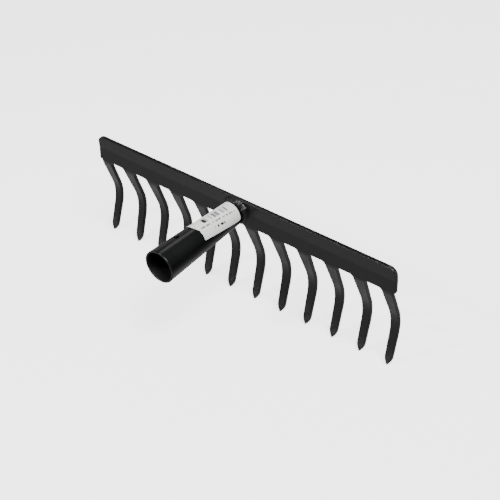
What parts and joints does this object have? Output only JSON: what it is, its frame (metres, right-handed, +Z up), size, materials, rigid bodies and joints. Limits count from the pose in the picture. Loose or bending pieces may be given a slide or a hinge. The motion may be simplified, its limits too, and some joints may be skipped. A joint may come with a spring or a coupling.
{
  "type": "garden rake head",
  "caption": "Straight pressed-steel garden rake head with curved tines, a tapered handle socket welded square to its front face, and a paper label.",
  "frame": {"origin": "centre of the handle socket's mouth, on the socket's axis", "axes": "+X along the bar, +Y from the socket's mouth to the bar so the handle leaves along -Y, +Z up so the tines hang down and their points turn forward towards the handle"},
  "size_m": [0.35, 0.1183, 0.1138],
  "materials": {
    "black_paint": "satin black baked paint",
    "label_paper": "matt white printed sticker"
  },
  "bodies": {
    "root": {"back_bar": "black_paint", "tine_01": "black_paint", "tine_02": "black_paint", "tine_03": "black_paint", "tine_04": "black_paint", "tine_05": "black_paint", "tine_06": "black_paint", "tine_07": "black_paint", "tine_08": "black_paint", "tine_09": "black_paint", "tine_10": "black_paint", "tine_11": "black_paint", "tine_12": "black_paint", "socket": "black_paint", "weld_bead": "black_paint", "paper_label": "label_paper"}
  },
  "joints": []
}
